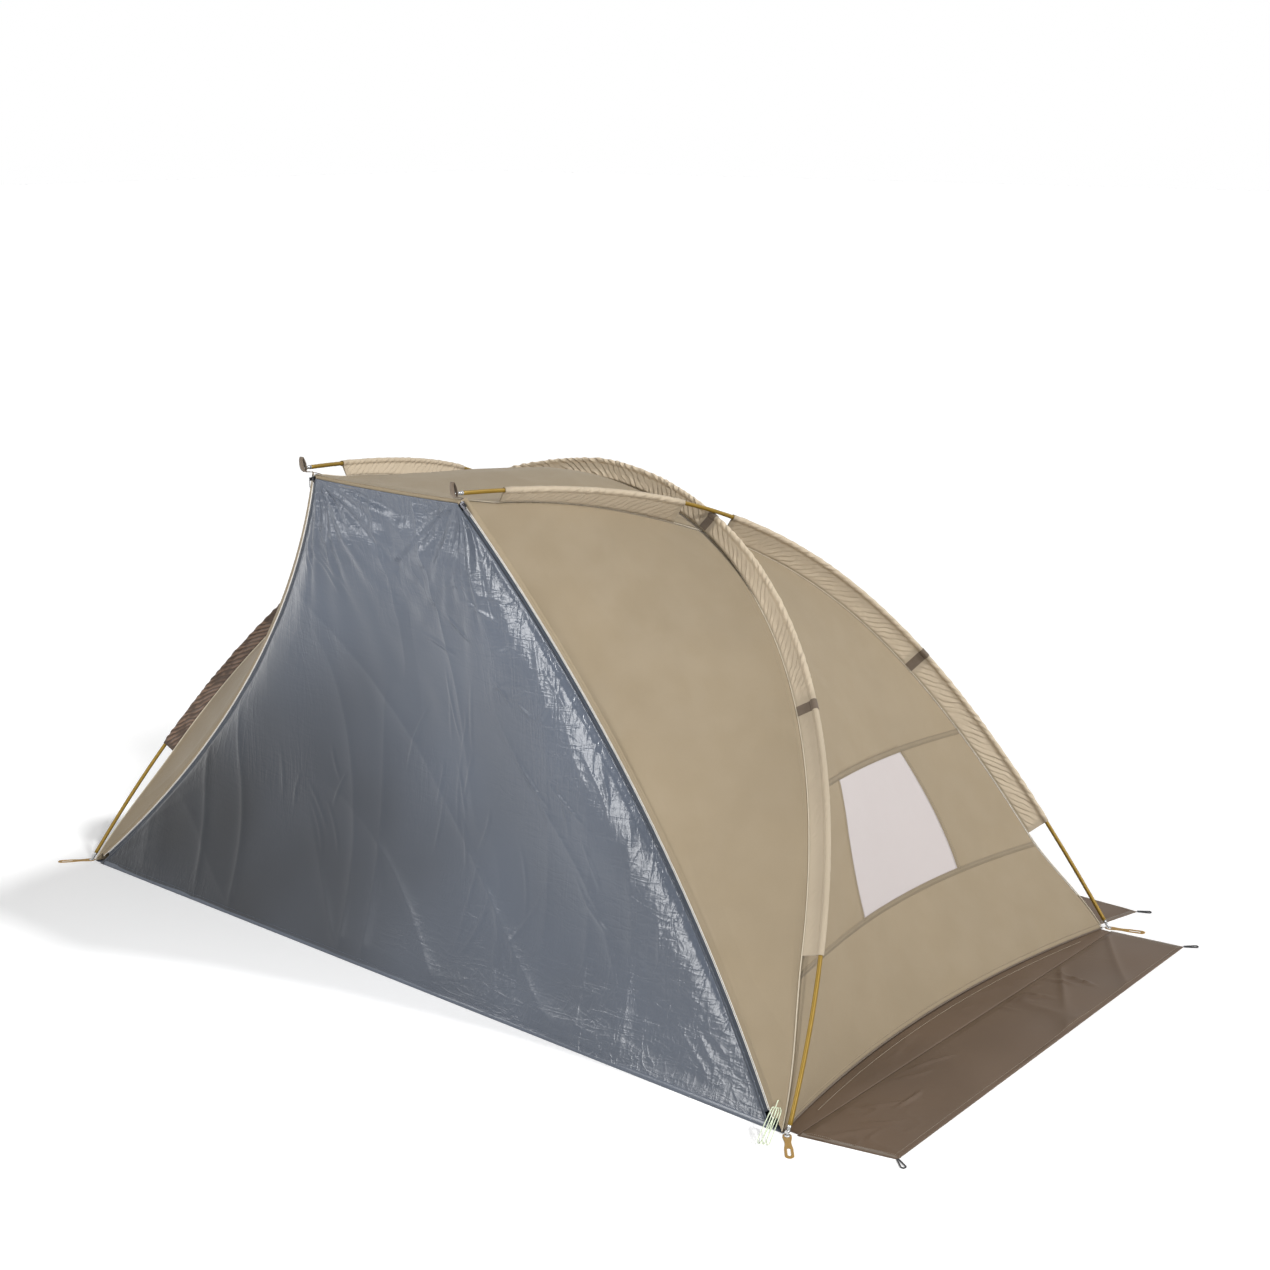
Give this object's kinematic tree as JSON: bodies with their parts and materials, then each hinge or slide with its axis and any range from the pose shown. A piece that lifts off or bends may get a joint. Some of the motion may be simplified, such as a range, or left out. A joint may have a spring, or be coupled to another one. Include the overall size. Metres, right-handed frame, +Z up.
{
  "type": "beach tent",
  "caption": "Low beach tent on bent sleeved poles, with a zipped fold-down front door, side windows, a groundsheet and sand flaps at the side and back.",
  "frame": {"origin": "on the ground in the middle of the base between the four pole feet", "axes": "+Z up, +Y to the back, +X to the right side with the sand flap"},
  "size_m": [2.6074, 1.5756, 1.179],
  "materials": {
    "canopy": "matt woven tan cloth",
    "sleeve": "matt light tan cloth, gathered",
    "webbing": "dark brown webbing",
    "pole": "gold anodised tube",
    "tip_metal": "bright metal",
    "strap": "gold webbing",
    "groundsheet": "coated blue-grey sheet, crinkled and shiny",
    "window_film": "pale frosted film",
    "sand_flap": "brown coated cloth",
    "zip_tape": "woven tape with a moulded chain",
    "zip_metal": "dark enamel",
    "elastic": "black elastic cord",
    "guy_line": "pale green braided cord"
  },
  "bodies": {
    "tent": {"hoop_sleeve": "sleeve", "roof_panel": "canopy", "rear_wall": "canopy", "groundsheet": "groundsheet", "side_skirt_right": "sand_flap", "guyline_hank": "guy_line", "side_wall_right": "canopy", "front_wing_right": "canopy", "window_right": "window_film", "ridge_sleeve_front_right": "sleeve", "ridge_sleeve_rear_right": "sleeve", "crossing_band_right": "webbing", "hoop_band_right": "webbing", "ridge_band_right": "webbing", "tip_tab_right": "webbing", "corner_strap_front_right": "strap", "corner_strap_rear_right": "strap", "zip_tape_right": "zip_tape", "hoop_tip_right": "tip_metal", "ridge_tip_front_right": "tip_metal", "ridge_tip_rear_right": "tip_metal", "ridge_pole_right_section_1": "pole", "ridge_pole_right_section_2": "pole", "ridge_pole_right_section_3": "pole", "side_wall_left": "canopy", "front_wing_left": "canopy", "window_left": "window_film", "ridge_sleeve_front_left": "sleeve", "ridge_sleeve_rear_left": "sleeve", "crossing_band_left": "webbing", "hoop_band_left": "webbing", "ridge_band_left": "webbing", "tip_tab_left": "webbing", "corner_strap_front_left": "strap", "corner_strap_rear_left": "strap", "zip_tape_left": "zip_tape", "hoop_tip_left": "tip_metal", "ridge_tip_front_left": "tip_metal", "ridge_tip_rear_left": "tip_metal", "ridge_pole_left_section_1": "pole", "ridge_pole_left_section_2": "pole", "ridge_pole_left_section_3": "pole", "hoop_pole_section_1": "pole", "hoop_pole_section_2": "pole", "hoop_pole_section_3": "pole", "hoop_pole_section_4": "pole", "hoop_pole_section_5": "pole", "hoop_pole_section_6": "pole"},
    "door": {"door_panel": "groundsheet", "door_zip_right": "zip_tape", "door_zip_left": "zip_tape"},
    "slider_right": {"zip_slider_right": "zip_metal"},
    "slider_left": {"zip_slider_left": "zip_metal"},
    "puller_right": {"zip_puller_right": "zip_metal"},
    "puller_left": {"zip_puller_left": "zip_metal"},
    "side_flap": {"sand_flap_right": "sand_flap", "flap_loop_front": "elastic", "flap_loop_rear": "elastic"},
    "rear_flap": {"sand_flap_rear": "sand_flap", "rear_flap_loop": "elastic"}
  },
  "joints": [
    {"name": "door_fold", "type": "hinge", "parent": "tent", "child": "door", "pos_m": [0, -0.67312, 0.0005], "axis": [1, 0, 0], "range_deg": [0, 91]},
    {"name": "side_flap_fold", "type": "hinge", "parent": "tent", "child": "side_flap", "pos_m": [1.164, -0.659, 0.0005], "axis": [0.0144, -0.9999, 0], "range_deg": [0, 100]},
    {"name": "rear_flap_fold", "type": "hinge", "parent": "tent", "child": "rear_flap", "pos_m": [0, 0.6651, 0.0005], "axis": [1, 0, 0], "range_deg": [0, 66]},
    {"name": "zip_run_right", "type": "hinge", "parent": "tent", "child": "slider_right", "pos_m": [1.13714, -2.57802, 1.01791], "axis": [-0.7536, -0.3137, -0.5776], "range_deg": [0, 37.8]},
    {"name": "puller_swing_right", "type": "hinge", "parent": "slider_right", "child": "puller_right", "pos_m": [0.2412, -0.62361, 1.1254], "axis": [-0.7536, -0.3137, -0.5776], "range_deg": [-8, 70]},
    {"name": "zip_run_left", "type": "hinge", "parent": "tent", "child": "slider_left", "pos_m": [-1.13714, -2.57802, 1.01791], "axis": [-0.7536, 0.3137, 0.5776], "range_deg": [0, 37.8]},
    {"name": "puller_swing_left", "type": "hinge", "parent": "slider_left", "child": "puller_left", "pos_m": [-0.2412, -0.62361, 1.1254], "axis": [-0.7536, 0.3137, 0.5776], "range_deg": [-8, 70]}
  ]
}
